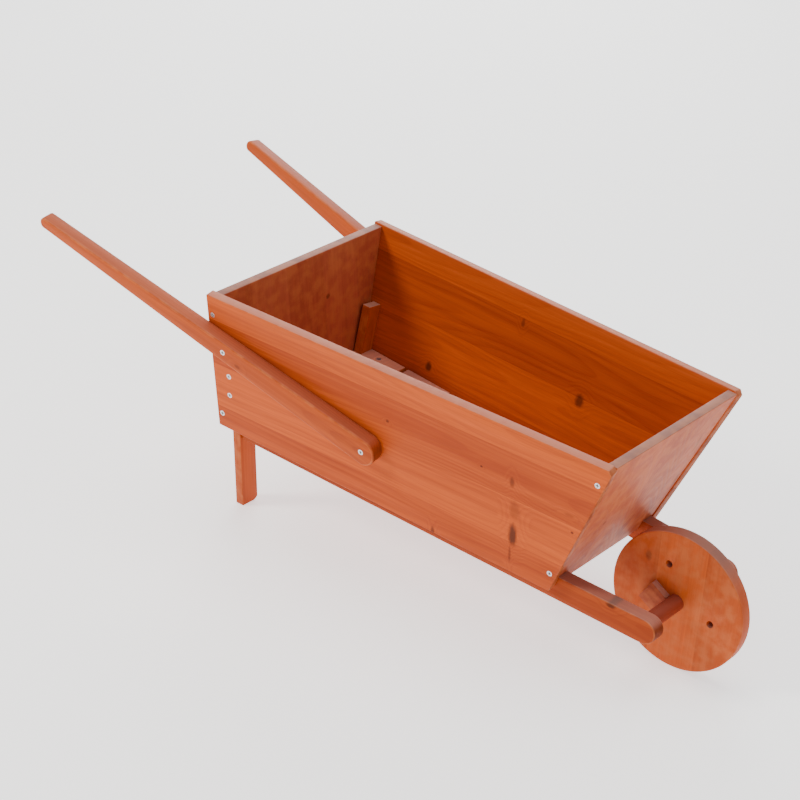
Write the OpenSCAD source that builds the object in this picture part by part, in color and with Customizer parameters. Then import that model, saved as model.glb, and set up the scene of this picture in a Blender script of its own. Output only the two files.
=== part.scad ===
/* [Wheel] */
// Diameter of the wooden wheel
wheel_d = 200; // [160:1:260]
// Thickness of the wheel
wheel_t = 20; // [14:1:30]
// Width of the small bevel round both wheel rims
wheel_ease = 1.5; // [0.5:0.1:3]
// Diameter of the three holes drilled through the wheel
wheel_hole_d = 10; // [6:0.5:16]
// Radius of the circle that the three holes lie on
wheel_hole_r = 54; // [44:1:66]
// Turn of the first hole, measured up from straight ahead
wheel_hole_turn = 110; // [0:1:119]
// Reach of each glue block from the middle of the axle
block_reach = 39; // [24:1:44]
// Depth of each glue block below its upper face
block_w = 34; // [20:1:40]
// Thickness of each glue block, out from the wheel
block_t = 11; // [6:0.5:20]
// Turn of the glue blocks about the axle
block_turn = 31; // [0:1:45]
// Diameter of the axle between the rails
axle_d = 23; // [18:0.5:28]
// Diameter of the pins turned on the axle ends
pin_d = 14; // [10:0.5:16]
// Running gap round the pins in their rail bores
pin_gap = 0.05; // [0.03:0.01:0.1]
// Length of the pins inside the blind rail bores
pin_len = 11; // [8:0.5:15]
// Free play at each end of the axle
axle_play = 1; // [0.5:0.1:2]

/* [Rails] */
// Height of each rail
rail_h = 35.5; // [28:0.5:50]
// Thickness of each rail
rail_t = 21.5; // [18:0.5:30]
// Distance from the axle down to the underside of the rails
rail_drop = 15; // [13:0.5:22]
// Length of rail in front of the axle, to the rounded end
rail_nose = 26; // [20:1:40]
// How much the underside of the rails rises from the front of the tray to the legs
rail_rise = 3; // [0.5:0.5:6]

/* [Tray] */
// Distance from the axle back to the front lower corner of the tray
tray_gap = 126; // [118:1:180]
// Length of the tray along its lower edge
tray_len = 565; // [420:1:700]
// Outer width of the tray at its front lower edge
tray_front_w = 244; // [220:1:320]
// Outer width of the tray at its rear lower edge
tray_rear_w = 306; // [260:1:380]
// Height of the side panels at the front, square to the floor
tray_front_h = 234.5; // [170:0.5:300]
// Height of the side panels at the rear, square to the floor
tray_rear_h = 215.5; // [150:0.5:280]
// How far the panels hang below the top of the rails
tray_lap = 17; // [12:0.5:26]
// Downward slope of the tray towards the wheel
tray_tilt = 3; // [0:0.5:5]
// Outward lean of the side panels
side_flare = 7.95; // [0:0.05:12]
// Forward lean of the front board
front_rake = 19; // [5:0.5:28]
// Backward lean of the rear board
rear_rake = 3.3; // [0:0.1:10]
// Thickness of the side panels, front board and rear board
board_t = 14; // [11:0.5:20]
// How far the front board sits back from the panel edges
front_recess = 3; // [0:0.5:6]
// How far the rear board sits in from the panel edges
rear_recess = 1; // [0:0.5:6]
// Cut across the upper front corner of each side panel
corner_cut = 7; // [2:0.5:14]

/* [Floor] */
// Number of floor slats
slat_count = 6; // [6:1:6]
// Thickness of the floor slats
slat_t = 12; // [9:0.5:18]
// Drainage gap between floor slats
slat_gap = 6; // [3:0.5:12]

/* [Legs] */
// Thickness of each leg, front to back
leg_t = 14; // [11:0.5:20]
// Width of each leg below the panels
leg_w = 30.5; // [24:0.5:42]
// How far each leg steps out below the edge of its panel
leg_step = 5; // [0.5:0.5:10]
// Height of each leg above the top of the rails
leg_rise = 85; // [50:1:120]
// Radius of the rounded inner corner of each foot
foot_r = 10; // [4:1:14]

/* [Handles] */
// Length of each handle between the centres of its round ends
handle_len = 588; // [450:1:700]
// Thickness of each handle
handle_t = 21; // [16:0.5:26]
// Height of each handle at its front end
handle_root_h = 42; // [30:1:50]
// Height of each handle at its grip end
handle_tip_h = 17; // [14:1:30]
// Upward slope of each handle, from the tray floor
handle_slope = 12.7; // [6:0.1:18]
// Distance from the axle back to the front handle screw
handle_back = 419; // [360:1:480]
// Height of the front handle screw above the lower edge of the tray
handle_up = 96; // [70:0.5:130]

/* [Screws] */
// Diameter of the screw shanks
screw_d = 4; // [3:0.5:5]
// Diameter of the screw heads
screw_head_d = 8; // [6:0.5:10]
// Length of the screws through one board
screw_len = 38; // [30:1:50]
// Length of the screws through the floor slats
slat_screw_len = 30; // [24:1:40]

/* [Hidden] */

$fn = 64;
wood = "#c4663a";
wood_dark = "#a8502f";
zinc = "#c9ccd0";

// Clearances and small details
hair = 0.05;        // gap round a screw in its hole
fit = 0.2;          // gap between boards that meet
slat_end_gap = 1;   // gap from a slat end to the side panel
cut_over = 1;       // how far a cutter runs past a face
far = 1000;         // longer than anything it cuts
recess_w = 1.6;     // width of a cross recess in a screw head
recess_depth = 2.2; // depth of a cross recess
head_rim = 0.6;     // straight rim of a countersunk head
end_round = 1.04;   // radius of a handle end over half the handle's height there
screw_short = 2;    // handle screws stop this far inside the inner face of the panel
second_screw = 0.42;         // place of the second handle screw along the handle
rail_screws_at = [0.16, 0.78]; // places of the rail screws along the tray
rail_screw_bite = 0.6;       // how far the rail screws reach through the panel
edge_screw_in = 30;          // screws sit this far from the edges of a board
rear_screw_low = 23;         // height of the lowest rear screw above the lower edge
leg_screws_up = [32, 64];    // heights of the leg screws above the floor
leg_rail_bite = 30;          // how far the leg screws reach into the rail ends
board_top_in = 1;            // front and rear boards stop this far below the panels

// The tray frame has its origin on the axle line: u forward, v to the left, w up from the floor
axle_h = wheel_d / 2;
rail_top = rail_h - rail_drop;
tray_base = rail_top - tray_lap;
floor_top = rail_top + slat_t;
front_u = -tray_gap;
rear_u = -tray_gap - tray_len;
toe = atan((tray_rear_w - tray_front_w) / 2 / tray_len);
flare = atan(tan(side_flare) * cos(toe));

// Half of the outer width at a place in the tray frame, and of the inner width
function outer_half(u, w) =
    tray_front_w / 2 - (u - front_u) * tan(toe) + (w - tray_base) * tan(side_flare);
board_v = board_t / cos(flare) / cos(toe);
function inner_half(u, w) = outer_half(u, w) - board_v;

// A place on the outer face of a panel, turned from tray frame to the plane of the panel
function on_panel(u, w) =
    [(u - w * tan(flare) * sin(toe)) / cos(toe), w / cos(flare)];

// Edges of the front and rear boards at a height w: distance d in from the panel edges
function front_face(w, d) = front_u + (w - tray_base) * tan(front_rake) - d / cos(front_rake);
function rear_face(w, d) = rear_u - (w - tray_base) * tan(rear_rake) + d / cos(rear_rake);

// Rails
rail_out = board_v - board_t * sin(flare) * tan(side_flare) + fit;
function rail_outer(u) = outer_half(u, tray_base) - rail_out;
leg_rear_u = rear_face(tray_base, rear_recess + board_t) + fit;
leg_front_u = leg_rear_u + leg_t;
leg_outer = inner_half(leg_front_u, rail_top) - fit;
leg_lean = side_flare;
leg_neck_w = leg_w - leg_step;
leg_step_down = (tray_lap - board_t * sin(flare)) / cos(leg_lean) + fit;

// Axle shoulders run just inside the rails, its pins in their bores
shoulder_v = rail_outer(pin_d / 2) - rail_t / cos(toe) - axle_play;
pin_end_v = shoulder_v + axle_play + pin_len;

// Floor slats
floor_front = front_face(rail_top, front_recess + board_t) - fit;
floor_rear = rear_face(rail_top, rear_recess + board_t) + fit;
slat_pitch = (floor_front - floor_rear + slat_gap) / slat_count;

// Handle in the plane of the side panel
handle_root = on_panel(-handle_back, tray_base + handle_up);
handle_taper = asin((handle_root_h - handle_tip_h) / 2 / handle_len);
handle_run = [-cos(handle_slope), sin(handle_slope)];
handle_second = handle_root + second_screw * handle_len * handle_run;
handle_screw_len = handle_t + board_t - screw_short;

// Radius and centre of each round end, measured along the handle
root_r = handle_root_h / 2 * end_round;
root_at = root_r - handle_root_h / 2;
tip_r = handle_tip_h / 2 * end_round;
tip_at = handle_len + handle_tip_h / 2 - tip_r;

// The origin is on the ground below the middle of the whole length, so the axle is ahead of it
tip_centre = handle_root + tip_at * handle_run;
ahead_in_panel = [
    cos(toe) * cos(tray_tilt),
    sin(flare) * sin(toe) * cos(tray_tilt) + cos(flare) * sin(tray_tilt)];
ahead_out = cos(flare) * sin(toe) * cos(tray_tilt) - sin(flare) * sin(tray_tilt);
tip_back = tip_centre * ahead_in_panel - tip_r * norm(ahead_in_panel) + min(0, handle_t * ahead_out);
axle_x = -(wheel_d / 2 + tip_back) / 2;

// Heights and places of the screws
front_board_top = tray_base + tray_front_h;
rear_board_top = tray_base + tray_rear_h;
front_screw_w = [tray_base + edge_screw_in, front_board_top - edge_screw_in];
rear_screw_w = [tray_base + rear_screw_low, rear_board_top - edge_screw_in];
rail_screw_u = [for (place = rail_screws_at) front_u - tray_len * place];
rail_screw_w = (tray_base + board_t * sin(flare) + rail_top) / 2;
rail_screw_len = rail_t + board_t * rail_screw_bite;
leg_screw_w = [for (up = leg_screws_up) floor_top + up];
leg_rail_screw_len = leg_t + leg_rail_bite;
leg_rail_screw_w = (floor_top - slat_screw_len - rail_drop + rail_rise) / 2;

// Frames
module in_tray() {
    translate([axle_x, 0, axle_h]) rotate([0, tray_tilt, 0]) children();
}

// side is -1 for the right and 1 for the left
module on_side(side) {
    mirror([0, side > 0 ? 1 : 0, 0]) children();
}

// Plane of the right-hand panel: x along it, z up it, y = 0 its outer face and y > 0 inwards
module in_panel() {
    translate([0, -outer_half(0, 0), 0]) rotate([0, 0, toe]) rotate([flare, 0, 0]) children();
}

// A vertical slice through (u, w), thick along v and centred on the middle
module across(width) {
    translate([0, width / 2, 0]) rotate([90, 0, 0]) linear_extrude(width) children();
}

// A countersunk screw, its head face at z = 0 and its point at z = -len
module screw(len) {
    difference() {
        union() {
            translate([0, 0, -head_rim]) cylinder(d = screw_head_d, h = head_rim);
            translate([0, 0, -screw_head_d / 2])
                cylinder(d1 = screw_d, d2 = screw_head_d, h = screw_head_d / 2 - head_rim);
            translate([0, 0, -len + screw_d]) cylinder(d = screw_d, h = len - screw_d);
            translate([0, 0, -len]) cylinder(d1 = 0.4, d2 = screw_d, h = screw_d);
        }
        for (turn = [0, 90])
            rotate([0, 0, turn]) translate([-screw_head_d * 0.3, -recess_w / 2, -recess_depth])
                cube([screw_head_d * 0.6, recess_w, recess_depth + cut_over]);
    }
}

// The hole that a screw of that length leaves in the wood
module screw_hole(len) {
    translate([0, 0, -head_rim]) cylinder(d = screw_head_d + 2 * hair, h = head_rim + cut_over);
    translate([0, 0, -screw_head_d / 2])
        cylinder(d1 = screw_d + 2 * hair, d2 = screw_head_d + 2 * hair, h = screw_head_d / 2 - head_rim);
    translate([0, 0, -len - hair]) cylinder(d = screw_d + 2 * hair, h = len);
}

// Where each family of screws goes, drawn for the right-hand side in the tray frame
module at_front_screws() {
    for (w = front_screw_w) {
        place = on_panel(front_face(w, front_recess + board_t / 2), w);
        in_panel() translate([place[0], 0, place[1]]) rotate([90, 0, 0]) children();
    }
}

module at_rear_screws() {
    for (w = rear_screw_w) {
        place = on_panel(rear_face(w, rear_recess + board_t / 2), w);
        in_panel() translate([place[0], 0, place[1]]) rotate([90, 0, 0]) children();
    }
}

module at_handle_screws() {
    for (place = [handle_root, handle_second])
        in_panel() translate([place[0], -handle_t, place[1]]) rotate([90, 0, 0]) children();
}

module at_rail_screws() {
    for (u = rail_screw_u)
        translate([u, -rail_outer(u) + rail_t / cos(toe), rail_screw_w])
            rotate([0, 0, toe]) rotate([-90, 0, 0]) children();
}

module at_leg_panel_screws() {
    for (w = leg_screw_w) {
        place = on_panel((leg_rear_u + leg_front_u) / 2, w);
        in_panel() translate([place[0], 0, place[1]]) rotate([90, 0, 0]) children();
    }
}

module at_leg_rail_screws() {
    v = -rail_outer(leg_rear_u) + rail_t / 2;
    translate([leg_rear_u, v, leg_rail_screw_w]) rotate([0, -90, 0]) children();
}

module at_floor_screws(slat) {
    u = floor_front - (slat - 0.5) * slat_pitch + slat_gap / 2;
    translate([u, -rail_outer(u) + rail_t / 2, floor_top]) children();
}

// The space outside the inner faces of both side panels, less a gap
module outside_panels(gap) {
    for (side = [-1, 1])
        on_side(side) in_panel() translate([-far, board_t + gap - far, -far])
            cube([2 * far, far, 2 * far]);
}

module side_panel(side) {
    top_u = front_face(front_board_top, 0);
    top_slope = (front_board_top - rear_board_top) / (top_u - rear_face(rear_board_top, 0));
    outline = [
        on_panel(rear_face(tray_base, 0), tray_base),
        on_panel(front_face(tray_base, 0), tray_base),
        on_panel(front_face(front_board_top - corner_cut, 0), front_board_top - corner_cut),
        on_panel(top_u - corner_cut, front_board_top - corner_cut * top_slope),
        on_panel(rear_face(rear_board_top, 0), rear_board_top)];
    color(wood) in_tray() on_side(side) difference() {
        in_panel() translate([0, board_t, 0]) rotate([90, 0, 0]) linear_extrude(board_t) polygon(outline);
        at_front_screws() screw_hole(screw_len);
        at_rear_screws() screw_hole(screw_len);
        at_leg_panel_screws() screw_hole(screw_len);
        at_handle_screws() screw_hole(handle_screw_len);
        at_rail_screws() screw_hole(rail_screw_len);
    }
}

// A rail's outline from above, between two places along it
module rail_shape(from, to) {
    linear_extrude(rail_h)
        polygon([[from, -rail_outer(from)], [to, -rail_outer(to)],
            [to, -rail_outer(to) + rail_t / cos(toe)], [from, -rail_outer(from) + rail_t / cos(toe)]]);
}

module front_board() {
    outline = [
        [front_face(tray_base, front_recess + board_t), tray_base],
        [front_face(tray_base, front_recess), tray_base],
        [front_face(front_board_top, front_recess), front_board_top - board_top_in],
        [front_face(front_board_top, front_recess + board_t), front_board_top - board_top_in]];
    color(wood_dark) in_tray() difference() {
        across(2 * far) polygon(outline);
        outside_panels(0);
        for (side = [-1, 1]) on_side(side) {
            translate([front_u - far / 2, -far, tray_base - cut_over])
                cube([far, far - rail_outer(front_u) + rail_t + 3 * fit, tray_lap + cut_over]);
            at_front_screws() screw_hole(screw_len);
        }
    }
}

module rear_board() {
    outline = [
        [rear_face(tray_base, rear_recess), tray_base],
        [rear_face(tray_base, rear_recess + board_t), tray_base],
        [rear_face(rear_board_top, rear_recess + board_t), rear_board_top - board_top_in],
        [rear_face(rear_board_top, rear_recess), rear_board_top - board_top_in]];
    color(wood_dark) in_tray() difference() {
        across(2 * far) polygon(outline);
        outside_panels(0);
        for (side = [-1, 1]) on_side(side) {
            at_rear_screws() screw_hole(screw_len);
            at_leg_rail_screws() translate([0, 0, -cut_over]) cylinder(d = screw_head_d + 1, h = far);
        }
    }
}

// Slats are numbered from the front
module floor_slat(slat) {
    slat_front = floor_front - (slat - 1) * slat_pitch;
    slat_rear = slat_front - slat_pitch + slat_gap;
    color(wood) in_tray() difference() {
        translate([slat_rear, -far, rail_top]) cube([slat_front - slat_rear, 2 * far, slat_t]);
        outside_panels(slat_end_gap);
        for (side = [-1, 1]) on_side(side) {
            at_floor_screws(slat) screw_hole(slat_screw_len);
            if (slat == slat_count) leg_neck(3 * fit);
        }
    }
}

module rail(side) {
    nose_r = rail_h / 2;
    color(wood) in_tray() on_side(side) difference() {
        translate([0, 0, -rail_drop]) rail_shape(leg_front_u, rail_nose);
        // rounded front end
        translate([rail_nose - nose_r, 0, rail_top - nose_r]) rotate([90, 0, 0])
            linear_extrude(far) difference() {
                translate([0, -rail_h]) square([2 * rail_h, 2 * rail_h]);
                circle(r = nose_r);
            }
        // underside rising to the leg
        rotate([90, 0, 0]) linear_extrude(far) polygon([
            [front_u, -rail_drop - cut_over], [front_u, -rail_drop],
            [leg_front_u - cut_over, -rail_drop + rail_rise],
            [leg_front_u - cut_over, -rail_drop - cut_over]]);
        // blind bore for the axle pin
        rotate([90, 0, 0]) cylinder(d = pin_d + 2 * pin_gap, h = pin_end_v + axle_play);
        at_rail_screws() screw_hole(rail_screw_len);
        at_leg_rail_screws() screw_hole(leg_rail_screw_len);
        for (slat = [1:slat_count]) at_floor_screws(slat) screw_hole(slat_screw_len);
    }
}

// The neck of a leg, inside the panel and down to the ground, grown all round by a gap
module leg_neck(gap) {
    translate([leg_rear_u - gap, -leg_outer, rail_top]) rotate([leg_lean, 0, 0])
        translate([0, -gap, -far])
            cube([leg_t + 2 * gap, leg_neck_w + 2 * gap, far + leg_rise]);
}

// The step of a leg, out under the edge of the panel
module leg_under() {
    translate([leg_rear_u, -leg_outer, rail_top]) rotate([leg_lean, 0, 0])
        translate([0, -leg_step, -far - leg_step_down]) cube([leg_t, leg_w, far]);
}

module leg(side) {
    color(wood) difference() {
        in_tray() on_side(side) difference() {
            union() {
                leg_neck(0);
                leg_under();
            }
            at_leg_panel_screws() screw_hole(screw_len);
            at_leg_rail_screws() screw_hole(leg_rail_screw_len);
        }
        translate([-far * 1.5, -far, -2 * far]) cube([2 * far, 2 * far, 2 * far]);
        on_side(side) foot_round();
    }
}

// Cuts the rounded inner corner of a foot, in the frame of the ground
module foot_round() {
    foot_w = (-axle_h + leg_rear_u * sin(tray_tilt)) / cos(tray_tilt);
    inner = -leg_outer - (foot_w - rail_top) * tan(leg_lean) + leg_neck_w / cos(leg_lean);
    foot_x = axle_x + leg_rear_u * cos(tray_tilt) + foot_w * sin(tray_tilt);
    translate([foot_x - far / 2, inner - foot_r, foot_r]) rotate([90, 0, 90]) linear_extrude(far)
        difference() {
            translate([0, -2 * foot_r]) square([3 * foot_r, 2 * foot_r]);
            circle(r = foot_r);
        }
}

// Tapered bar along x with a round end at each end, its root centred on 0
module handle_outline() {
    root_x = -handle_root_h;
    tip_x = handle_len + handle_tip_h;
    root_half = (handle_root_h / 2 - root_x * sin(handle_taper)) / cos(handle_taper);
    tip_half = (handle_root_h / 2 - tip_x * sin(handle_taper)) / cos(handle_taper);
    difference() {
        polygon([[root_x, -root_half], [tip_x, -tip_half], [tip_x, tip_half], [root_x, root_half]]);
        difference() {
            translate([root_at - far, -far / 2]) square(far);
            translate([root_at, 0]) circle(r = root_r);
        }
        difference() {
            translate([tip_at, -far / 2]) square(far);
            translate([tip_at, 0]) circle(r = tip_r);
        }
    }
}

module handle(side) {
    color(wood) in_tray() on_side(side) difference() {
        in_panel() translate([handle_root[0], 0, handle_root[1]]) rotate([90, 0, 0])
            linear_extrude(handle_t) rotate(180 - handle_slope) handle_outline();
        at_handle_screws() screw_hole(handle_screw_len);
    }
}

module wheel_disc() {
    r = wheel_d / 2;
    color(wood_dark) translate([axle_x, 0, axle_h]) rotate([90, 0, 0]) difference() {
        rotate_extrude($fn = 128) polygon([
            [0, -wheel_t / 2], [r - wheel_ease, -wheel_t / 2], [r, -wheel_t / 2 + wheel_ease],
            [r, wheel_t / 2 - wheel_ease], [r - wheel_ease, wheel_t / 2], [0, wheel_t / 2]]);
        translate([0, 0, -wheel_t]) cylinder(d = axle_d + 2 * hair, h = 2 * wheel_t);
        for (turn = [0, 120, 240])
            rotate([0, 0, wheel_hole_turn + turn]) translate([wheel_hole_r, 0, -wheel_t])
                cylinder(d = wheel_hole_d, h = 2 * wheel_t);
    }
}

// Glued to the wheel face and to the axle, its upper face square to the middle of the axle
module glue_block(side) {
    color(wood) translate([axle_x, 0, axle_h]) on_side(side)
        rotate([90, 0, 0]) difference() {
            rotate([0, 0, -block_turn]) translate([-block_reach, -block_w, wheel_t / 2])
                cube([block_reach, block_w, block_t]);
            cylinder(d = axle_d + 2 * hair, h = far);
        }
}

module axle() {
    color(wood_dark) translate([axle_x, 0, axle_h]) rotate([90, 0, 0]) {
        translate([0, 0, -shoulder_v]) cylinder(d = axle_d, h = 2 * shoulder_v);
        translate([0, 0, -pin_end_v]) cylinder(d = pin_d, h = 2 * pin_end_v);
    }
}

module both_sides() {
    for (side = [-1, 1]) on_side(side) children();
}

module front_board_screws() {
    color(zinc) in_tray() both_sides() at_front_screws() screw(screw_len);
}

module rear_board_screws() {
    color(zinc) in_tray() both_sides() at_rear_screws() screw(screw_len);
}

module handle_screws() {
    color(zinc) in_tray() both_sides() at_handle_screws() screw(handle_screw_len);
}

module floor_screws() {
    color(zinc) in_tray() both_sides()
        for (slat = [1:slat_count]) at_floor_screws(slat) screw(slat_screw_len);
}

module rail_screws() {
    color(zinc) in_tray() both_sides() at_rail_screws() screw(rail_screw_len);
}

module leg_panel_screws() {
    color(zinc) in_tray() both_sides() at_leg_panel_screws() screw(screw_len);
}

module leg_rail_screws() {
    color(zinc) in_tray() both_sides() at_leg_rail_screws() screw(leg_rail_screw_len);
}

side_panel(1);  // side_panel_left
side_panel(-1);  // side_panel_right
front_board();
rear_board();
floor_slat(1);  // floor_slat_1
floor_slat(2);  // floor_slat_2
floor_slat(3);  // floor_slat_3
floor_slat(4);  // floor_slat_4
floor_slat(5);  // floor_slat_5
floor_slat(6);  // floor_slat_6
rail(1);  // rail_left
rail(-1);  // rail_right
leg(1);  // leg_left
leg(-1);  // leg_right
handle(1);  // handle_left
handle(-1);  // handle_right
wheel_disc();
glue_block(1);  // glue_block_left
glue_block(-1);  // glue_block_right
axle();
front_board_screws();
rear_board_screws();
handle_screws();
floor_screws();
rail_screws();
leg_panel_screws();
leg_rail_screws();
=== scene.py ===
"""Wooden garden wheelbarrow: a tapered tray of stained pine on two rails, with tapered handles, two legs
and a solid wooden wheel."""

import math

import bmesh
import bpy
from bpy.props import FloatProperty, FloatVectorProperty, PointerProperty
from mathutils import Matrix, Vector


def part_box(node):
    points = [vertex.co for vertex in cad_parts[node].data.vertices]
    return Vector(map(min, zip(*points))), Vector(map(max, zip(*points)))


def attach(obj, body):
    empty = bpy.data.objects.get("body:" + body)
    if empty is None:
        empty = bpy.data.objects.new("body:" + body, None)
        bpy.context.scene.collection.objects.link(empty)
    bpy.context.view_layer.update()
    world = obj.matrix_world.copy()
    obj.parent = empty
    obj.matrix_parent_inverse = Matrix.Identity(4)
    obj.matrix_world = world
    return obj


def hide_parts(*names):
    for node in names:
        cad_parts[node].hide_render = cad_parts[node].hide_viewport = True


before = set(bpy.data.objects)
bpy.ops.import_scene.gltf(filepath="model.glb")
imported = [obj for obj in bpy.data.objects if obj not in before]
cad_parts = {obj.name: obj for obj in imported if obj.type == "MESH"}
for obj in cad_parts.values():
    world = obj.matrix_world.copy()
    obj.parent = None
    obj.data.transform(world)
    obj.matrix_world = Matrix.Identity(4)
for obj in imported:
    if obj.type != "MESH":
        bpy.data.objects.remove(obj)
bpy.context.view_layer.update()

bl_info = {
    "name": "Wooden wheelbarrow",
    "version": (1, 0, 0),
    "blender": (4, 5, 0),
    "location": "3D View > Sidebar > Barrow",
    "description": "Dresses the wheelbarrow frame in eased, stained timber with zinc screws",
    "category": "Object",
}

MM = 0.001
UP = Vector((0, 0, 1))
AHEAD = Vector((1, 0, 0))
LEFT = Vector((0, 1, 0))

# How the timber meshes are cleaned and rounded
WELD = 0.002 * MM  # corners nearer than this are one corner
FLAT = math.radians(0.5)  # triangles flatter than this make one face
SHARP = math.radians(28)  # an edge that is rounded turns by more than this
SMOOTH = math.radians(30)  # shading is smooth across edges that turn by less
WIDEST_HOLE = 30 * MM  # edges in a ring smaller than this belong to a hole and stay sharp
AXLE_FIT = 0.05 * MM  # glue gap round the axle in the wheel
AXLE_ARRIS = 0.6 * MM  # edge of the axle's shoulders and pins

# Growth of the pine
HEART_DEPTH = 45 * MM  # middle of the rings below the face of a board
HEART_ASIDE = 12 * MM  # middle of the rings from the edge of a narrow piece
RING_BEND = 60 * MM  # how far the rings wander along the grain
NARROW = 10.0  # a strip wider than any narrow piece, in metres
RING_TONES = ((0.0, 0.25), (0.3, 0.0), (0.82, 0.75), (0.94, 1.0), (1.0, 0.25))  # early wood 0, late wood 1

# Sockets of Mix and Map Range, by their numbers
MIX_FROM, MIX_TO, MIX_COLOUR = 6, 7, 2
OF, LOW, HIGH, TO_LOW, TO_HIGH = range(5)  # Map Range


def linear(code):
    """An sRGB hex colour as linear red, green, blue and alpha."""
    parts = [int(code[i : i + 2], 16) / 255 for i in (0, 2, 4)]
    return (*[p / 12.92 if p <= 0.04045 else ((p + 0.055) / 1.055) ** 2.4 for p in parts], 1.0)


def size(name, text, default, low, high):
    """A length that a user may change, given here in millimetres."""
    return FloatProperty(
        name=name, description=text, default=default * MM, min=low * MM, max=high * MM,
        unit="LENGTH", precision=4,
    )


def colour(name, text, code):
    """A colour that a user may change."""
    return FloatVectorProperty(
        name=name, description=text, default=linear(code)[:3], size=3, min=0, max=1, subtype="COLOR"
    )


class BarrowSizes(bpy.types.PropertyGroup):
    board_arris: size("Board edge", "Radius sanded on the edges of the boards, rails and legs", 1.3, 0.3, 3)
    handle_arris: size("Handle edge", "Radius sanded on the edges of the handles", 2.6, 0.5, 4)
    wheel_arris: size("Wheel edge", "Radius on both rims of the wheel", 2.2, 0.5, 5)
    hole_arris: size("Hole edge", "Bevel round the three holes in the wheel", 0.8, 0.2, 2)
    hole_width: size("Wheel hole", "Diameter of the three holes in the wheel", 10, 4, 20)
    hole_circle: size("Hole circle", "Radius of the circle that the three holes lie on", 54, 40, 80)
    hole_turn: FloatProperty(
        name="Hole turn", description="Turn of the first hole up from straight ahead",
        default=math.radians(110), subtype="ANGLE",
    )
    ring: size("Ring spacing", "Distance between growth rings of the pine", 4.2, 1, 12)
    strip: size("Strip width", "Width of the strips that the boards are glued up from", 72.5, 30, 150)


class BarrowColours(bpy.types.PropertyGroup):
    orange_early: colour("Orange early wood", "Pale wood between the rings of the orange stain", "CB5A22")
    orange_late: colour("Orange late wood", "Dark rings of the orange stain", "A23F17")
    rose_early: colour("Rose early wood", "Pale wood between the rings of the rose stain", "B65B3E")
    rose_late: colour("Rose late wood", "Dark rings of the rose stain", "923B24")
    knot: colour("Knot", "Middle of a knot", "4E2212")
    # painted sheen: the pale grey-pink mixed onto faces that look up, in place of their highlight
    film: colour("Film", "Dull bloom of the oil on faces that look up", "CBB0A6")
    worn: colour("Worn edge", "Wood where an edge has been rubbed pale", "CC7444")
    zinc: colour("Zinc", "Plating of the screws", "DCDDDF")
    floor: colour("Floor", "Pale studio floor", "FAFAF9")


# Working on meshes


def only(piece):
    """Selects this piece alone."""
    bpy.ops.object.select_all(action="DESELECT")
    piece.select_set(True)
    bpy.context.view_layer.objects.active = piece


def edit(piece):
    """Opens a piece in edit mode with nothing selected, and gives its mesh."""
    only(piece)
    bpy.ops.object.mode_set(mode="EDIT")
    bpy.ops.mesh.select_mode(type="EDGE")
    bpy.ops.mesh.select_all(action="DESELECT")
    return bmesh.from_edit_mesh(piece.data)


def leave_edit():
    bpy.ops.object.mode_set(mode="OBJECT")


def timber(node, name):
    """A new piece in the form of a CAD node, its loose triangles joined into whole faces."""
    piece = bpy.data.objects.new(name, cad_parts[node].data.copy())
    bpy.context.scene.collection.objects.link(piece)
    piece.data.materials.clear()
    edit(piece)
    bpy.ops.mesh.customdata_custom_splitnormals_clear()
    bpy.ops.mesh.select_all(action="SELECT")
    bpy.ops.mesh.remove_doubles(threshold=WELD)
    bpy.ops.mesh.dissolve_limited(angle_limit=FLAT)
    leave_edit()
    return piece


def outline_edges(mesh, longest_hole):
    """Sharp edges in chains that reach further than the widest hole."""
    sharp = [e for e in mesh.edges if len(e.link_faces) == 2 and e.calc_face_angle() > SHARP]
    left, found = set(sharp), []
    while left:
        chain, ends = set(), [left.pop()]
        while ends:
            edge = ends.pop()
            chain.add(edge)
            for vert in edge.verts:
                for other in vert.link_edges:
                    if other in left:
                        left.remove(other)
                        ends.append(other)
        spots = [v.co for e in chain for v in e.verts]
        reach = max(max(p[i] for p in spots) - min(p[i] for p in spots) for i in range(3))
        if reach > longest_hole:
            found += chain
    return found


def ease(piece, radius, steps=3, longest_hole=WIDEST_HOLE):
    """Rounds the outline edges of a piece and marks the new faces as its arris, which wears pale."""
    mesh = edit(piece)
    for edge in outline_edges(mesh, longest_hole):
        edge.select = True
    mesh.select_flush_mode()
    bmesh.update_edit_mesh(piece.data)
    bpy.ops.mesh.bevel(offset=radius, segments=steps, profile=0.5, affect="EDGES", clamp_overlap=True)
    mesh = bmesh.from_edit_mesh(piece.data)
    arris = mesh.faces.layers.float.get("arris") or mesh.faces.layers.float.new("arris")
    for face in mesh.faces:
        face[arris] = 1.0 if face.select else face[arris]
    bmesh.update_edit_mesh(piece.data)
    leave_edit()


def finish_piece(piece, body, nodes):
    """Shades a piece, stands it in for its CAD nodes and lets it ride on its body."""
    only(piece)
    bpy.ops.object.shade_smooth_by_angle(angle=SMOOTH)
    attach(piece, body)
    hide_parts(*nodes)
    bpy.ops.object.select_all(action="DESELECT")


def cut_away(piece, cutter):
    """Takes the cutter out of the piece."""
    only(piece)
    bore = piece.modifiers.new("bore", "BOOLEAN")
    bore.object, bore.operation, bore.solver = cutter, "DIFFERENCE", "EXACT"
    bpy.ops.object.modifier_apply(modifier=bore.name)
    bpy.data.objects.remove(cutter)


def settle(piece):
    """Puts a piece's place, turn and scale into its mesh."""
    only(piece)
    bpy.ops.object.transform_apply(location=True, rotation=True, scale=True)


def rod(name, place, radius, length, around=48):
    """A cylinder across the barrow, with its middle at a place."""
    bpy.ops.object.select_all(action="DESELECT")
    bpy.ops.mesh.primitive_cylinder_add(
        vertices=around, radius=radius, depth=length, location=place, rotation=(math.pi / 2, 0, 0)
    )
    made = bpy.context.object
    made.name = name
    settle(made)
    return made


# Directions in a board


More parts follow.
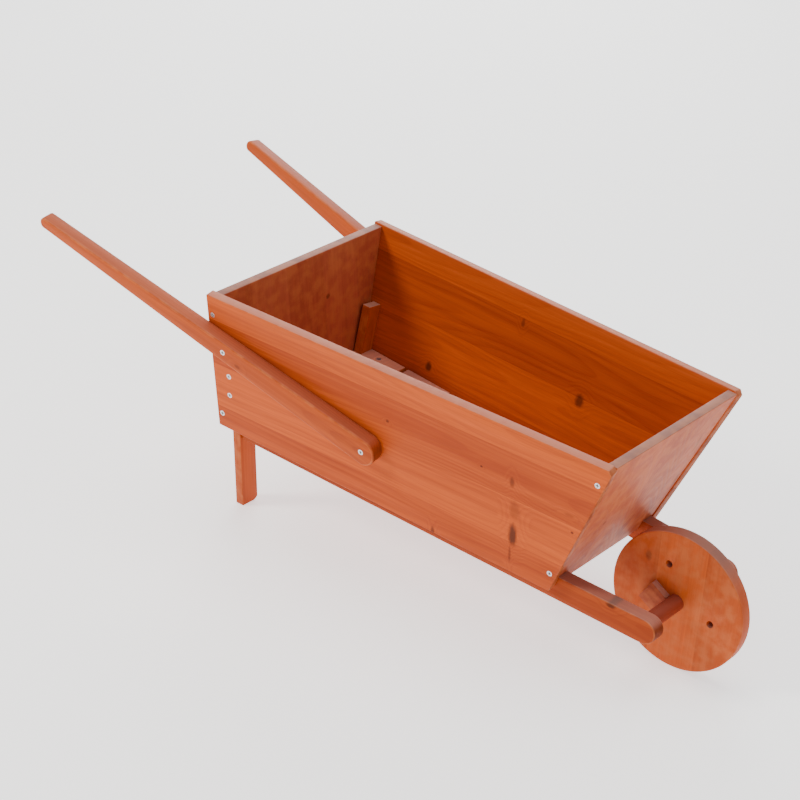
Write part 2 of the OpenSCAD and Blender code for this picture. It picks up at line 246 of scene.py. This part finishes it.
def board_axes(piece, along, across):
    """(corner, turn) of a board: x along its grain, y through it and z across it.
    The grain follows the longest edge near `along`, z points near `across`, and the corner is the lowest
    on all three."""
    mesh = piece.data
    widest = max(mesh.polygons, key=lambda p: p.area).normal.copy()
    edges = [mesh.vertices[e.vertices[1]].co - mesh.vertices[e.vertices[0]].co for e in mesh.edges]
    near = [e if e.dot(along) > 0 else -e for e in edges if abs(e.normalized().dot(along)) > 0.93]
    grain = max(near, key=lambda e: e.length).normalized() if near else along
    through = (widest - grain * widest.dot(grain)).normalized()
    width = grain.cross(through).normalized()
    if width.dot(across) < 0:
        width, through = -width, -through
    turn = Matrix((grain, width.cross(grain), width)).transposed()
    local = [turn.transposed() @ v.co for v in mesh.vertices]
    return turn @ Vector([min(p[i] for p in local) for i in range(3)]), turn


# Materials


def put(tree, kind, inputs=None, **settings):
    """Adds a node with these settings. An input is linked to a socket or set to a value, and it goes by
    its name, or by its number where the node has several of one name."""
    made = tree.nodes.new("ShaderNode" + kind)
    for name, value in settings.items():
        setattr(made, name, value)
    for name, value in (inputs or {}).items():
        if isinstance(value, bpy.types.NodeSocket):
            tree.links.new(value, made.inputs[name])
        else:
            made.inputs[name].default_value = value
    return made


def new_material(name):
    made = bpy.data.materials.new(name)
    made.use_nodes = True
    made.node_tree.nodes.clear()
    return made, made.node_tree


def stained_pine(
    name, corner, turn, early, late, strip_start=0.0, bands=0.5, knots=(), seed=0.0, strips=True, figure=1.0,
    film=0.27,
):
    """Planed pine under a satin oil stain. The eye sees soft growth rings along the board, fine fibres, glued
    strips that took the stain unevenly, darker end grain and knots, and edges rubbed a little paler.
    A figure under 1 makes the grain fainter, and the last argument sets how much painted sheen, a pale
    highlight colour, is mixed onto upward faces.
    A knot is (along, across, half length, half width, depth) in millimetres from the board's corner."""
    sizes, colours = bpy.context.scene.barrow_sizes, bpy.context.scene.barrow_colours
    material, tree = new_material(name)
    coords = put(tree, "TexCoord")
    angles = turn.to_euler()
    place = put(
        tree, "Mapping", {"Vector": coords.outputs["Object"], "Location": corner, "Rotation": angles},
        vector_type="TEXTURE",
    )
    facing = put(
        tree, "Mapping", {"Vector": coords.outputs["Normal"], "Rotation": angles}, vector_type="TEXTURE"
    )
    parts = put(tree, "SeparateXYZ", {0: place.outputs[0]})

    # Glued strips: each has its own number, and takes its own part of the grain
    start = put(tree, "Math", {0: parts.outputs[2], 1: strip_start * MM}, operation="ADD")
    count = put(tree, "Math", {0: start.outputs[0], 1: sizes.strip if strips else NARROW}, operation="DIVIDE")
    number = put(tree, "Math", {0: count.outputs[0]}, operation="FLOOR")
    own = put(tree, "Math", {0: number.outputs[0], 1: seed}, operation="ADD")
    chance = put(tree, "TexWhiteNoise", {"W": own.outputs[0]}, noise_dimensions="1D")
    shift = put(
        tree, "VectorMath", {0: chance.outputs["Color"], 1: (3.0, 0.05, 0.12)}, operation="MULTIPLY"
    )
    grown = put(tree, "VectorMath", {0: place.outputs[0], 1: shift.outputs[0]}, operation="ADD")

    # Rings lie round a heart under the middle of each strip, and wander along it
    wander = put(
        tree, "VectorMath", {0: grown.outputs[0], 1: (1.6, 9.0, 9.0)}, operation="MULTIPLY"
    )
    bend = put(
        tree, "TexNoise", {"Vector": wander.outputs[0], "Scale": 1.0, "Detail": 2.0, "Roughness": 0.45}
    )
    within = put(tree, "Math", {0: count.outputs[0]}, operation="FRACT")
    centred = put(tree, "Math", {0: within.outputs[0], 1: 0.5}, operation="SUBTRACT")
    if strips:
        aside = put(tree, "Math", {0: centred.outputs[0], 1: sizes.strip}, operation="MULTIPLY")
    else:
        aside = put(tree, "Math", {0: parts.outputs[2], 1: HEART_ASIDE}, operation="SUBTRACT")
    below = put(tree, "Math", {0: parts.outputs[1], 1: HEART_DEPTH}, operation="ADD")
    heart = put(tree, "CombineXYZ", {1: below.outputs[0], 2: aside.outputs[0]})
    radius = put(tree, "VectorMath", {0: heart.outputs[0]}, operation="LENGTH")
    moved = put(
        tree, "Math", {0: bend.outputs["Fac"], 1: RING_BEND, 2: radius.outputs["Value"]},
        operation="MULTIPLY_ADD",
    )

    # Knots push the rings aside and darken the wood
    push, dark = moved.outputs[0], None
    for along, across, half_long, half_wide, depth in knots:
        offset = put(
            tree, "Mapping",
            {
                "Vector": place.outputs[0],
                "Location": (along * MM, 0, across * MM),
                "Scale": (half_long * MM, 10.0, half_wide * MM),
            },
            vector_type="TEXTURE",
        )
        ragged = put(tree, "TexNoise", {"Vector": offset.outputs[0], "Scale": 1.4, "Detail": 3.0})
        edge = put(
            tree, "VectorMath", {0: ragged.outputs["Color"], 1: (0.9, 0.0, 0.9), 2: (-0.45, 0.0, -0.45)},
            operation="MULTIPLY_ADD",
        )
        torn = put(tree, "VectorMath", {0: offset.outputs[0], 1: edge.outputs[0]}, operation="ADD")
        away = put(tree, "VectorMath", {0: torn.outputs[0]}, operation="LENGTH")
        spot = put(
            tree, "MapRange", {OF: away.outputs["Value"], LOW: 1.15, HIGH: 0.35, TO_LOW: 0.0, TO_HIGH: depth},
            interpolation_type="SMOOTHSTEP",
        )
        halo = put(
            tree, "MapRange", {OF: away.outputs["Value"], LOW: 3.2, HIGH: 0.6, TO_LOW: 0.0, TO_HIGH: 0.006},
            interpolation_type="SMOOTHSTEP",
        )
        push = put(tree, "Math", {0: push, 1: halo.outputs[0]}, operation="ADD").outputs[0]
        if dark is None:
            dark = spot.outputs[0]
        else:
            dark = put(tree, "Math", {0: dark, 1: spot.outputs[0]}, operation="MAXIMUM").outputs[0]

    rings = put(tree, "Math", {0: push, 1: 1 / sizes.ring}, operation="MULTIPLY")
    phase = put(tree, "Math", {0: rings.outputs[0]}, operation="FRACT")
    band = put(tree, "ValToRGB", {"Fac": phase.outputs[0]})
    stops = band.color_ramp.elements
    while len(stops) < len(RING_TONES):
        stops.new(1.0)
    for stop, (spot, grey) in zip(stops, RING_TONES):
        stop.position, stop.color = spot, (grey, grey, grey, 1)

    # Fibres about 1 mm wide, drawn coarser than real ones so that they show, and longer streaks of stain
    fine = put(tree, "VectorMath", {0: grown.outputs[0], 1: (14.0, 520.0, 520.0)}, operation="MULTIPLY")
    fibre = put(tree, "TexNoise", {"Vector": fine.outputs[0], "Scale": 1.0, "Detail": 3.0, "Roughness": 0.6})
    long = put(tree, "VectorMath", {0: grown.outputs[0], 1: (2.2, 95.0, 95.0)}, operation="MULTIPLY")
    streak = put(tree, "TexNoise", {"Vector": long.outputs[0], "Scale": 1.0, "Detail": 2.0})
    cloud = put(tree, "VectorMath", {0: grown.outputs[0], 1: (2.0, 20.0, 20.0)}, operation="MULTIPLY")
    patch = put(tree, "TexNoise", {"Vector": cloud.outputs[0], "Scale": 1.0, "Detail": 3.0})

    # How much late wood shows: rings, streaks, patches and the strip's own tone
    ring_part = put(tree, "Math", {0: band.outputs["Color"], 1: 0.28 * figure}, operation="MULTIPLY")
    streak_part = put(
        tree, "MapRange",
        {OF: streak.outputs["Fac"], LOW: 0.36, HIGH: 0.66, TO_LOW: 0.0, TO_HIGH: 0.30 * figure},
        interpolation_type="SMOOTHSTEP",
    )
    patch_part = put(
        tree, "MapRange",
        {OF: patch.outputs["Fac"], LOW: 0.34, HIGH: 0.66, TO_LOW: -0.08 * figure, TO_HIGH: 0.20 * figure},
        interpolation_type="SMOOTHSTEP",
    )
    odd = put(tree, "Math", {0: number.outputs[0], 1: 1.0}, operation="PINGPONG")
    tone = put(tree, "MapRange", {OF: odd.outputs[0], LOW: 0.0, HIGH: 1.0, TO_LOW: bands, TO_HIGH: 0.0})
    one = put(tree, "Math", {0: ring_part.outputs[0], 1: streak_part.outputs[0]}, operation="ADD")
    two = put(tree, "Math", {0: one.outputs[0], 1: patch_part.outputs[0]}, operation="ADD")
    amount = put(tree, "Math", {0: two.outputs[0], 1: tone.outputs[0]}, operation="ADD", use_clamp=True)
    wood = put(
        tree, "Mix", {"Factor": amount.outputs[0], MIX_FROM: (*early, 1), MIX_TO: (*late, 1)},
        data_type="RGBA",
    )

    # Fibres, end grain and the glue lines darken it
    fibre_dark = put(
        tree, "MapRange", {OF: fibre.outputs["Fac"], LOW: 0.3, HIGH: 0.7, TO_LOW: 0.90, TO_HIGH: 1.06}
    )
    sides = put(tree, "SeparateXYZ", {0: facing.outputs[0]})
    ends = put(tree, "Math", {0: sides.outputs[0]}, operation="ABSOLUTE")
    end_dark = put(
        tree, "MapRange", {OF: ends.outputs[0], LOW: 0.55, HIGH: 0.95, TO_LOW: 1.0, TO_HIGH: 0.5},
        interpolation_type="SMOOTHSTEP",
    )
    from_line = put(tree, "Math", {0: centred.outputs[0]}, operation="ABSOLUTE")
    line = put(
        tree, "MapRange", {OF: from_line.outputs[0], LOW: 0.490, HIGH: 0.499, TO_LOW: 1.0, TO_HIGH: 0.84}
    )
    both = put(tree, "Math", {0: fibre_dark.outputs[0], 1: end_dark.outputs[0]}, operation="MULTIPLY")
    shade = put(tree, "Math", {0: both.outputs[0], 1: line.outputs[0]}, operation="MULTIPLY")
    toned = put(
        tree, "VectorMath", {0: wood.outputs[MIX_COLOUR], "Scale": shade.outputs[0]}, operation="SCALE"
    )
    base = toned.outputs[0]
    if dark is not None:
        base = put(
            tree, "Mix", {"Factor": dark, MIX_FROM: base, MIX_TO: (*colours.knot, 1)}, data_type="RGBA"
        ).outputs[MIX_COLOUR]

    # The arris left by sanding, worn in places
    arris = put(tree, "Attribute", attribute_name="arris")
    rub = put(tree, "TexNoise", {"Vector": place.outputs[0], "Scale": 55.0, "Detail": 3.0})
    rubbed = put(
        tree, "MapRange", {OF: rub.outputs["Fac"], LOW: 0.40, HIGH: 0.62, TO_LOW: 0.05, TO_HIGH: 0.45}
    )
    bare = put(tree, "Math", {0: arris.outputs["Fac"], 1: rubbed.outputs[0]}, operation="MULTIPLY")
    worn = put(
        tree, "Mix", {"Factor": bare.outputs[0], MIX_FROM: base, MIX_TO: (*colours.worn, 1)}, data_type="RGBA"
    )

    # Painted sheen: faces that look up are mixed towards a pale grey-pink that stands in for the dull
    # highlight they catch from the top and back lights
    upward = put(tree, "SeparateXYZ", {0: coords.outputs["Normal"]})
    painted_sheen_mask = put(
        tree, "MapRange", {OF: upward.outputs[2], LOW: 0.35, HIGH: 0.95, TO_LOW: 0.0, TO_HIGH: film},
        interpolation_type="SMOOTHSTEP",
    )
    filmed = put(
        tree, "Mix",
        {"Factor": painted_sheen_mask.outputs[0], MIX_FROM: worn.outputs[MIX_COLOUR], MIX_TO: (*colours.film, 1)},
        data_type="RGBA",
    )

    # Oil sits in the early wood and leaves the late wood glossier
    height = put(tree, "Math", {0: band.outputs["Color"], 1: fibre.outputs["Fac"]}, operation="ADD")
    gloss = put(tree, "MapRange", {OF: height.outputs[0], LOW: 0.2, HIGH: 1.6, TO_LOW: 0.54, TO_HIGH: 0.42})
    relief = put(
        tree, "Bump", {"Height": height.outputs[0], "Strength": 0.35, "Distance": 0.12 * MM}
    )
    shader = put(
        tree, "BsdfPrincipled",
        {
            "Base Color": filmed.outputs[MIX_COLOUR],
            "Roughness": gloss.outputs[0],
            "Normal": relief.outputs[0],
            "IOR": 1.5,
            "Specular IOR Level": 0.09,
        },
    )
    put(tree, "OutputMaterial", {"Surface": shader.outputs[0]})
    return material


def zinc_plate():
    """Bright zinc plating on a steel screw: cold, slightly cloudy metal with scuffs from the driver."""
    colours = bpy.context.scene.barrow_colours
    material, tree = new_material("bright zinc plating")
    coords = put(tree, "TexCoord")
    cloud = put(tree, "TexNoise", {"Vector": coords.outputs["Object"], "Scale": 900.0, "Detail": 3.0})
    dull = put(tree, "MapRange", {OF: cloud.outputs["Fac"], LOW: 0.3, HIGH: 0.7, TO_LOW: 0.28, TO_HIGH: 0.48})
    stain = put(
        tree, "MapRange", {OF: cloud.outputs["Fac"], LOW: 0.3, HIGH: 0.75, TO_LOW: 1.0, TO_HIGH: 0.72}
    )
    tint = put(tree, "VectorMath", {0: colours.zinc, "Scale": stain.outputs[0]}, operation="SCALE")
    scuff = put(tree, "Bump", {"Height": cloud.outputs["Fac"], "Strength": 0.25, "Distance": 0.05 * MM})
    shader = put(
        tree, "BsdfPrincipled",
        {
            "Base Color": tint.outputs[0],
            "Roughness": dull.outputs[0],
            "Metallic": 1.0,
            "Normal": scuff.outputs[0],
        },
    )
    put(tree, "OutputMaterial", {"Surface": shader.outputs[0]})
    return material


def studio_floor():
    """Matt painted floor, very slightly mottled."""
    colours = bpy.context.scene.barrow_colours
    material, tree = new_material("matt studio paint")
    coords = put(tree, "TexCoord")
    mottle = put(tree, "TexNoise", {"Vector": coords.outputs["Object"], "Scale": 1.5, "Detail": 2.0})
    tone = put(
        tree, "MapRange", {OF: mottle.outputs["Fac"], LOW: 0.3, HIGH: 0.7, TO_LOW: 0.985, TO_HIGH: 1.0}
    )
    tint = put(tree, "VectorMath", {0: colours.floor, "Scale": tone.outputs[0]}, operation="SCALE")
    shader = put(
        tree, "BsdfPrincipled",
        {
            "Base Color": tint.outputs[0],
            "Roughness": 0.9,
            "Emission Color": (1.0, 1.0, 1.0, 1.0),
            "Emission Strength": 1.1,
        },
    )
    put(tree, "OutputMaterial", {"Surface": shader.outputs[0]})
    return material


def orange():
    colours = bpy.context.scene.barrow_colours
    return tuple(colours.orange_early), tuple(colours.orange_late)


def rose():
    colours = bpy.context.scene.barrow_colours
    return tuple(colours.rose_early), tuple(colours.rose_late)


def board(node, body, slot, along, across, stain, radius, **grain):
    """A board in the form of its CAD node, with sanded edges and its own piece of pine."""
    piece = timber(node, node + "_timber")
    corner, turn = board_axes(piece, along, across)
    ease(piece, radius)
    name = "stained pine, " + node.replace("_", " ")
    piece.data.materials.append(stained_pine(name, corner, turn, *stain, **grain))
    finish_piece(piece, body, [node])
    return piece


# Operators, one for each piece or group of like pieces


class BARROW_OT_side_panels(bpy.types.Operator):
    """Make the two side panels of the tray"""

    bl_idname = "barrow.side_panels"
    bl_label = "Side panels"

    def execute(self, context):
        sizes = context.scene.barrow_sizes
        near = [
            (515, 66, 8, 22, 0.9), (517, 108, 10, 17, 0.35), (511, 32, 2.5, 16, 0.55),
            (605, 114, 2.6, 2.2, 0.9), (464, 154, 2.6, 2.0, 0.9), (512, 151, 4.5, 10, 0.6),
            (312, 158, 3.4, 3.0, 0.75), (386, 7, 4, 11, 0.75), (358, 0, 9, 4, 0.85), (600, 140, 9, 3, 0.3),
        ]
        far = [(150, 60, 7, 9, 0.8), (420, 120, 9, 12, 0.75), (560, 48, 3, 3, 0.8), (300, 190, 4, 8, 0.5)]
        for side, knots, seed in (("right", near, 3.0), ("left", far, 17.0)):
            board(
                "side_panel_" + side, "barrow", "orange_pine", AHEAD, UP, orange(), sizes.board_arris,
                strip_start=21.0, bands=0.42, knots=knots, seed=seed,
            )
        return {"FINISHED"}


class BARROW_OT_end_boards(bpy.types.Operator):
    """Make the front and rear boards of the tray"""

    bl_idname = "barrow.end_boards"
    bl_label = "End boards"

    def execute(self, context):
        sizes = context.scene.barrow_sizes
        front = [
            (165, 232, 22, 5, 0.45), (88, 228, 17, 6, 0.5), (30, 240, 12, 4, 0.3),
            # the last entry is no knot but a wide, faint dark patch over the lower part of the front board:
            # painted shade
            (120, 60, 4, 4, 0.5), (20, 150, 70, 130, 0.3),
        ]
        rear = [(60, 90, 12, 7, 0.7), (150, 210, 5, 5, 0.8)]
        for node, knots, seed in (("front_board", front, 5.0), ("rear_board", rear, 29.0)):
            board(
                node, "barrow", "red_pine", UP, LEFT, rose(), sizes.board_arris,
                strip_start=15.0, bands=0.2, knots=knots, seed=seed, figure=0.5,
            )
        return {"FINISHED"}


class BARROW_OT_floor_slats(bpy.types.Operator):
    """Make the six floor slats"""

    bl_idname = "barrow.floor_slats"
    bl_label = "Floor slats"

    def execute(self, context):
        sizes = context.scene.barrow_sizes
        for number in range(1, 7):
            knots = [(40 + 31 * number, 22 + 9 * (number % 4), 9, 5, 0.7), (200 - 17 * number, 55, 4, 3, 0.7)]
            board(
                f"floor_slat_{number}", "barrow", "orange_pine", LEFT, AHEAD, orange(), sizes.board_arris,
                bands=0.15 * (number % 3), knots=knots, seed=40.0 + number, strips=False,
            )
        return {"FINISHED"}


class BARROW_OT_rails(bpy.types.Operator):
    """Make the two rails that hold the tray and the wheel"""

    bl_idname = "barrow.rails"
    bl_label = "Rails"

    def execute(self, context):
        sizes = context.scene.barrow_sizes
        for side, knots, seed in (
            ("right", [(621, 34, 9, 6, 0.85), (300, 20, 5, 4, 0.7)], 61.0),
            ("left", [(590, 24, 6, 5, 0.7), (180, 12, 8, 5, 0.7)], 67.0),
        ):
            board(
                "rail_" + side, "barrow", "orange_pine", AHEAD, UP, orange(), sizes.board_arris * 1.2,
                bands=0.5, knots=knots, seed=seed, strips=False,
            )
        return {"FINISHED"}


class BARROW_OT_legs(bpy.types.Operator):
    """Make the two legs"""

    bl_idname = "barrow.legs"
    bl_label = "Legs"

    def execute(self, context):
        sizes = context.scene.barrow_sizes
        for side, knots, seed in (
            ("right", [(150, 12, 5, 4, 0.5)], 71.0),
            ("left", [(60, 16, 6, 4, 0.7)], 73.0),
        ):
            board(
                "leg_" + side, "barrow", "orange_pine", UP, LEFT, orange(), sizes.board_arris,
                bands=0.1, knots=knots, seed=seed, strips=False,
            )
        return {"FINISHED"}


class BARROW_OT_handles(bpy.types.Operator):
    """Make the two tapered handles"""

    bl_idname = "barrow.handles"
    bl_label = "Handles"

    def execute(self, context):
        sizes = context.scene.barrow_sizes
        back = Vector((-1, 0, 0.18)).normalized()
        for side, knots, seed in (
            ("right", [(240, 20, 7, 4, 0.5)], 83.0),
            ("left", [(330, 16, 5, 4, 0.6)], 89.0),
        ):
            # the handles get only a little painted sheen
            board(
                "handle_" + side, "barrow", "orange_pine", back, UP, orange(), sizes.handle_arris,
                bands=0.12, knots=knots, seed=seed, strips=False, film=0.1,
            )
        return {"FINISHED"}


class BARROW_OT_wheel(bpy.types.Operator):
    """Make the solid wheel with its three holes"""

    bl_idname = "barrow.wheel"
    bl_label = "Wheel"

    def execute(self, context):
        sizes = context.scene.barrow_sizes
        low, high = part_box("wheel_disc")
        middle, radius, thick = (low + high) / 2, (high.x - low.x) / 2, high.y - low.y
        disc = rod("wheel_timber", middle, radius, thick, around=160)
        mesh = edit(disc)
        for edge in mesh.edges:
            edge.select = abs(edge.verts[0].co.y - edge.verts[1].co.y) < thick / 2
        mesh.select_flush_mode()
        bmesh.update_edit_mesh(disc.data)
        bpy.ops.mesh.bevel(offset=sizes.wheel_arris, segments=4, profile=0.5, affect="EDGES")
        mesh = bmesh.from_edit_mesh(disc.data)
        arris = mesh.faces.layers.float.new("arris")
        for face in mesh.faces:
            face[arris] = 1.0 if face.select else 0.0
        bmesh.update_edit_mesh(disc.data)
        leave_edit()

        axle_low, axle_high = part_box("axle")
        cut_away(disc, rod("bore", middle, (axle_high.z - axle_low.z) / 2 + AXLE_FIT, thick * 2, around=64))
        spots = []
        for third in range(3):
            angle = sizes.hole_turn + third * math.tau / 3
            spots.append(middle + Vector((math.cos(angle), 0, math.sin(angle))) * sizes.hole_circle)
            cut_away(disc, rod("hole", spots[-1], sizes.hole_width / 2, thick * 2))
        mesh = edit(disc)
        for edge in mesh.edges:
            if abs(edge.verts[0].co.y - edge.verts[1].co.y) > 0.01 * MM:
                continue
            for spot in spots:
                away = [math.hypot(v.co.x - spot.x, v.co.z - spot.z) for v in edge.verts]
                if all(abs(length - sizes.hole_width / 2) < 0.1 * MM for length in away):
                    edge.select = True
        mesh.select_flush_mode()
        bmesh.update_edit_mesh(disc.data)
        bpy.ops.mesh.bevel(
            offset=sizes.hole_arris, segments=2, profile=0.5, affect="EDGES", clamp_overlap=False
        )
        leave_edit()

        turn = Matrix((UP, LEFT, -AHEAD)).transposed()
        corner = middle + Vector((radius, -thick / 2, -radius))
        knots = [(46, 120, 5, 3, 0.5), (150, 150, 9, 6, 0.6)]
        disc.data.materials.append(
            stained_pine(
                "stained pine, wheel", corner, turn, *orange(), strip_start=10.0, bands=0.45, knots=knots,
                seed=97.0, figure=0.45,
            )
        )
        finish_piece(disc, "wheel", ["wheel_disc"])
        return {"FINISHED"}


class BARROW_OT_glue_blocks(bpy.types.Operator):
    """Make the glue blocks that hold the wheel on its axle"""

    bl_idname = "barrow.glue_blocks"
    bl_label = "Glue blocks"

    def execute(self, context):
        sizes = context.scene.barrow_sizes
        down = Vector((0.857, 0, -0.515))
        for side, seed in (("right", 101.0), ("left", 103.0)):
            board(
                "glue_block_" + side, "wheel", "orange_pine", down, UP, rose(), sizes.board_arris,
                bands=0.3, seed=seed, strips=False,
            )
        return {"FINISHED"}


class BARROW_OT_axle(bpy.types.Operator):
    """Make the dowel axle with its turned pins"""

    bl_idname = "barrow.axle"
    bl_label = "Axle"

    def execute(self, context):
        piece = timber("axle", "axle_timber")
        ease(piece, AXLE_ARRIS, steps=2, longest_hole=5 * MM)
        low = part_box("axle")[0]
        turn = Matrix((LEFT, UP, AHEAD)).transposed()
        # Painted shade: the axle takes the rose stain, nearly all late wood (bands 0.8) and little painted
        # sheen, so that it is as dark as the shade it stands in under the tray and rail
        piece.data.materials.append(
            stained_pine(
                "stained dowel, axle", low, turn, *rose(), bands=0.8, seed=107.0, strips=False, film=0.05
            )
        )
        finish_piece(piece, "wheel", ["axle"])
        return {"FINISHED"}


class BARROW_OT_screws(bpy.types.Operator):
    """Plate the countersunk screws in bright zinc"""

    bl_idname = "barrow.screws"
    bl_label = "Screws"

    def execute(self, context):
        plating = zinc_plate()
        for name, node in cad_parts.items():
            if name.endswith("_screws"):
                for slot in node.material_slots:
                    slot.material = plating
        return {"FINISHED"}


class BARROW_OT_stage(bpy.types.Operator):
    """Set the pale floor, the soft studio lights and the camera"""

    bl_idname = "barrow.stage"
    bl_label = "Stage"

    def execute(self, context):
        bpy.ops.object.select_all(action="DESELECT")
        bpy.ops.mesh.primitive_circle_add(vertices=96, radius=14, fill_type="NGON", location=(0, 0, 0))
        floor = context.object
        floor.name = "studio_floor"
        settle(floor)
        floor.data.materials.append(studio_floor())

        middle = Vector((0, 0, 0.18))
        for name, place, width, power, tint in (
            ("key_light", (-2.1, -2.6, 2.7), 1.1, 90, "FFF8F0"),
            ("top_light", (0.2, 0.3, 3.2), 2.4, 50, "FFFFFF"),
            ("side_light", (3.2, -0.6, 1.9), 2.0, 15, "F6F8FF"),
            ("back_light", (-1.9, 2.4, 1.7), 2.4, 70, "FFFFFF"),
        ):
            data = bpy.data.lights.new(name, "AREA")
            data.shape, data.size, data.energy, data.color = "DISK", width, power, linear(tint)[:3]
            light = bpy.data.objects.new(name, data)
            context.scene.collection.objects.link(light)
            light.location = place
            light.rotation_euler = (middle - Vector(place)).to_track_quat("-Z", "Y").to_euler()

        world = bpy.data.worlds.new("studio")
        world.use_nodes = True
        world.node_tree.nodes.clear()
        sky = put(world.node_tree, "Background", {"Color": (1.0, 1.0, 1.0, 1.0), "Strength": 0.4})
        put(world.node_tree, "OutputWorld", {"Surface": sky.outputs[0]})
        context.scene.world = world

        yaw, pitch, roll = 0.66848, 0.50245, 0.06739
        level = Vector((math.cos(yaw), math.sin(yaw), 0))
        ahead = Vector((-math.sin(yaw) * math.cos(pitch), math.cos(yaw) * math.cos(pitch), -math.sin(pitch)))
        upright = level.cross(ahead)
        right = level * math.cos(roll) + upright * math.sin(roll)
        above = upright * math.cos(roll) - level * math.sin(roll)
        lens = bpy.data.cameras.new("camera")
        lens.lens, lens.sensor_width, lens.clip_end = 95.98, 36, 60
        camera = bpy.data.objects.new("camera", lens)
        context.scene.collection.objects.link(camera)
        turn = Matrix((right, above, -ahead)).transposed().to_4x4()
        camera.matrix_world = Matrix.Translation((1.58456, -2.06264, 1.64586)) @ turn
        context.scene.camera = camera
        return {"FINISHED"}


STEPS = (
    BARROW_OT_stage,
    BARROW_OT_side_panels,
    BARROW_OT_end_boards,
    BARROW_OT_floor_slats,
    BARROW_OT_rails,
    BARROW_OT_legs,
    BARROW_OT_handles,
    BARROW_OT_wheel,
    BARROW_OT_glue_blocks,
    BARROW_OT_axle,
    BARROW_OT_screws,
)


class BARROW_PT_sidebar(bpy.types.Panel):
    """Sizes, colours and making of the wheelbarrow"""

    bl_idname = "BARROW_PT_sidebar"
    bl_label = "Wooden wheelbarrow"
    bl_space_type = "VIEW_3D"
    bl_region_type = "UI"
    bl_category = "Barrow"

    def draw(self, context):
        for group in (context.scene.barrow_sizes, context.scene.barrow_colours):
            for name in group.__annotations__:
                self.layout.prop(group, name)
        for step in STEPS:
            self.layout.operator(step.bl_idname)


CLASSES = (BarrowSizes, BarrowColours, *STEPS, BARROW_PT_sidebar)


def register():
    for cls in CLASSES:
        bpy.utils.register_class(cls)
    bpy.types.Scene.barrow_sizes = PointerProperty(type=BarrowSizes)
    bpy.types.Scene.barrow_colours = PointerProperty(type=BarrowColours)


def unregister():
    del bpy.types.Scene.barrow_sizes
    del bpy.types.Scene.barrow_colours
    for cls in reversed(CLASSES):
        bpy.utils.unregister_class(cls)


def main():
    register()
    for step in STEPS:
        group, name = step.bl_idname.split(".")
        getattr(getattr(bpy.ops, group), name)()
    bpy.context.view_layer.update()


if __name__ == "__main__":
    main()
